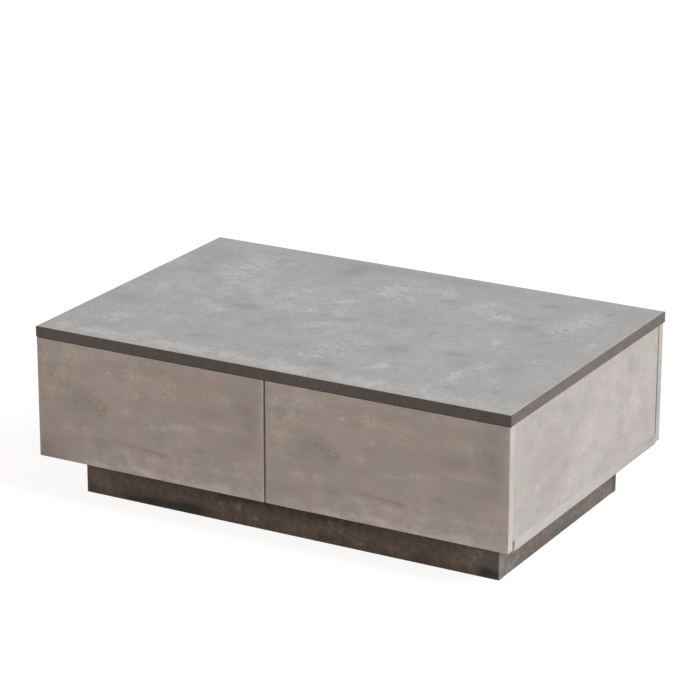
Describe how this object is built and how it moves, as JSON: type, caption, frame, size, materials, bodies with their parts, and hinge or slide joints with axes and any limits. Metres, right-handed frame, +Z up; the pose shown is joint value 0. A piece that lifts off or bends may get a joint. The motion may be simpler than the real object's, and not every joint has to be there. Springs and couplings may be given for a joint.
{
  "type": "coffee table",
  "caption": "Low rectangular coffee table with a dark stone-look top, a light stone-look body on a recessed plinth, and handleless full-extension drawers.",
  "frame": {"origin": "on the floor, under the middle of the top", "axes": "+X along the table to the right seen from the drawers, -Y out of the drawers, +Z up"},
  "size_m": [0.9, 0.6, 0.3159],
  "materials": {
    "dark_laminate": "dark grey concrete-look laminate on particle board, matt",
    "light_laminate": "light warm grey concrete-look laminate on particle board, matt",
    "box_board": "pale grey coated particle board, matt",
    "hardboard": "pale lacquered hardboard, matt",
    "rail_steel": "zinc-plated steel sheet, satin",
    "cage_plastic": "black plastic, matt",
    "cam_zinc": "die-cast zinc, satin",
    "latch_plastic": "grey plastic, satin"
  },
  "bodies": {
    "carcass": {"top_panel": "dark_laminate", "plinth_front_board": "dark_laminate", "plinth_back_board": "dark_laminate", "plinth_left_board": "dark_laminate", "plinth_centre_board": "dark_laminate", "plinth_right_board": "dark_laminate", "bottom_panel": "light_laminate", "left_side_panel": "light_laminate", "right_side_panel": "light_laminate", "centre_partition": "light_laminate", "back_panel": "light_laminate", "left_drawer_left_cabinet_rail": "rail_steel", "left_drawer_right_cabinet_rail": "rail_steel", "left_latch_housing": "latch_plastic", "right_drawer_left_cabinet_rail": "rail_steel", "right_drawer_right_cabinet_rail": "rail_steel", "right_latch_housing": "latch_plastic"},
    "left_drawer": {"left_drawer_front": "light_laminate", "left_drawer_left_side": "box_board", "left_drawer_right_side": "box_board", "left_drawer_back": "box_board", "left_drawer_bottom": "hardboard", "left_striker_plate": "rail_steel", "left_drawer_left_lower_cam": "cam_zinc", "left_drawer_left_upper_cam": "cam_zinc", "left_drawer_left_drawer_rail": "rail_steel", "left_drawer_right_lower_cam": "cam_zinc", "left_drawer_right_upper_cam": "cam_zinc", "left_drawer_right_drawer_rail": "rail_steel"},
    "left_drawer_left_intermediate_rail": {"left_drawer_left_intermediate_rail": "rail_steel"},
    "left_drawer_left_outer_ball_cage": {"left_drawer_left_outer_ball_cage": "cage_plastic"},
    "left_drawer_left_inner_ball_cage": {"left_drawer_left_inner_ball_cage": "cage_plastic"},
    "left_drawer_right_intermediate_rail": {"left_drawer_right_intermediate_rail": "rail_steel"},
    "left_drawer_right_outer_ball_cage": {"left_drawer_right_outer_ball_cage": "cage_plastic"},
    "left_drawer_right_inner_ball_cage": {"left_drawer_right_inner_ball_cage": "cage_plastic"},
    "left_latch_plunger": {"left_latch_plunger": "latch_plastic"},
    "right_drawer": {"right_drawer_front": "light_laminate", "right_drawer_left_side": "box_board", "right_drawer_right_side": "box_board", "right_drawer_back": "box_board", "right_drawer_bottom": "hardboard", "right_striker_plate": "rail_steel", "right_drawer_left_lower_cam": "cam_zinc", "right_drawer_left_upper_cam": "cam_zinc", "right_drawer_left_drawer_rail": "rail_steel", "right_drawer_right_lower_cam": "cam_zinc", "right_drawer_right_upper_cam": "cam_zinc", "right_drawer_right_drawer_rail": "rail_steel"},
    "right_drawer_left_intermediate_rail": {"right_drawer_left_intermediate_rail": "rail_steel"},
    "right_drawer_left_outer_ball_cage": {"right_drawer_left_outer_ball_cage": "cage_plastic"},
    "right_drawer_left_inner_ball_cage": {"right_drawer_left_inner_ball_cage": "cage_plastic"},
    "right_drawer_right_intermediate_rail": {"right_drawer_right_intermediate_rail": "rail_steel"},
    "right_drawer_right_outer_ball_cage": {"right_drawer_right_outer_ball_cage": "cage_plastic"},
    "right_drawer_right_inner_ball_cage": {"right_drawer_right_inner_ball_cage": "cage_plastic"},
    "right_latch_plunger": {"right_latch_plunger": "latch_plastic"}
  },
  "joints": [
    {"name": "left_drawer_slide", "type": "slide", "parent": "carcass", "child": "left_drawer", "axis": [0, -1, 0], "range_m": [0, 0.5]},
    {"name": "left_drawer_left_intermediate_rail_slide", "type": "slide", "parent": "carcass", "child": "left_drawer_left_intermediate_rail", "axis": [0, -1, 0], "range_m": [0, 0.25]},
    {"name": "left_drawer_left_outer_ball_cage_slide", "type": "slide", "parent": "carcass", "child": "left_drawer_left_outer_ball_cage", "axis": [0, -1, 0], "range_m": [0, 0.125]},
    {"name": "left_drawer_left_inner_ball_cage_slide", "type": "slide", "parent": "carcass", "child": "left_drawer_left_inner_ball_cage", "axis": [0, -1, 0], "range_m": [0, 0.375]},
    {"name": "left_drawer_right_intermediate_rail_slide", "type": "slide", "parent": "carcass", "child": "left_drawer_right_intermediate_rail", "axis": [0, -1, 0], "range_m": [0, 0.25]},
    {"name": "left_drawer_right_outer_ball_cage_slide", "type": "slide", "parent": "carcass", "child": "left_drawer_right_outer_ball_cage", "axis": [0, -1, 0], "range_m": [0, 0.125]},
    {"name": "left_drawer_right_inner_ball_cage_slide", "type": "slide", "parent": "carcass", "child": "left_drawer_right_inner_ball_cage", "axis": [0, -1, 0], "range_m": [0, 0.375]},
    {"name": "left_latch_plunger_slide", "type": "slide", "parent": "carcass", "child": "left_latch_plunger", "axis": [0, -1, 0], "range_m": [0, 0.014]},
    {"name": "right_drawer_slide", "type": "slide", "parent": "carcass", "child": "right_drawer", "axis": [0, -1, 0], "range_m": [0, 0.5]},
    {"name": "right_drawer_left_intermediate_rail_slide", "type": "slide", "parent": "carcass", "child": "right_drawer_left_intermediate_rail", "axis": [0, -1, 0], "range_m": [0, 0.25]},
    {"name": "right_drawer_left_outer_ball_cage_slide", "type": "slide", "parent": "carcass", "child": "right_drawer_left_outer_ball_cage", "axis": [0, -1, 0], "range_m": [0, 0.125]},
    {"name": "right_drawer_left_inner_ball_cage_slide", "type": "slide", "parent": "carcass", "child": "right_drawer_left_inner_ball_cage", "axis": [0, -1, 0], "range_m": [0, 0.375]},
    {"name": "right_drawer_right_intermediate_rail_slide", "type": "slide", "parent": "carcass", "child": "right_drawer_right_intermediate_rail", "axis": [0, -1, 0], "range_m": [0, 0.25]},
    {"name": "right_drawer_right_outer_ball_cage_slide", "type": "slide", "parent": "carcass", "child": "right_drawer_right_outer_ball_cage", "axis": [0, -1, 0], "range_m": [0, 0.125]},
    {"name": "right_drawer_right_inner_ball_cage_slide", "type": "slide", "parent": "carcass", "child": "right_drawer_right_inner_ball_cage", "axis": [0, -1, 0], "range_m": [0, 0.375]},
    {"name": "right_latch_plunger_slide", "type": "slide", "parent": "carcass", "child": "right_latch_plunger", "axis": [0, -1, 0], "range_m": [0, 0.014]}
  ],
  "couplings": [
    {"joint": "left_drawer_left_intermediate_rail_slide", "follows": "left_drawer_slide", "ratio": 0.5},
    {"joint": "left_drawer_left_outer_ball_cage_slide", "follows": "left_drawer_slide", "ratio": 0.25},
    {"joint": "left_drawer_left_inner_ball_cage_slide", "follows": "left_drawer_slide", "ratio": 0.75},
    {"joint": "left_drawer_right_intermediate_rail_slide", "follows": "left_drawer_slide", "ratio": 0.5},
    {"joint": "left_drawer_right_outer_ball_cage_slide", "follows": "left_drawer_slide", "ratio": 0.25},
    {"joint": "left_drawer_right_inner_ball_cage_slide", "follows": "left_drawer_slide", "ratio": 0.75},
    {"joint": "left_latch_plunger_slide", "follows": "left_drawer_slide", "ratio": 0.028},
    {"joint": "right_drawer_left_intermediate_rail_slide", "follows": "right_drawer_slide", "ratio": 0.5},
    {"joint": "right_drawer_left_outer_ball_cage_slide", "follows": "right_drawer_slide", "ratio": 0.25},
    {"joint": "right_drawer_left_inner_ball_cage_slide", "follows": "right_drawer_slide", "ratio": 0.75},
    {"joint": "right_drawer_right_intermediate_rail_slide", "follows": "right_drawer_slide", "ratio": 0.5},
    {"joint": "right_drawer_right_outer_ball_cage_slide", "follows": "right_drawer_slide", "ratio": 0.25},
    {"joint": "right_drawer_right_inner_ball_cage_slide", "follows": "right_drawer_slide", "ratio": 0.75},
    {"joint": "right_latch_plunger_slide", "follows": "right_drawer_slide", "ratio": 0.028}
  ]
}
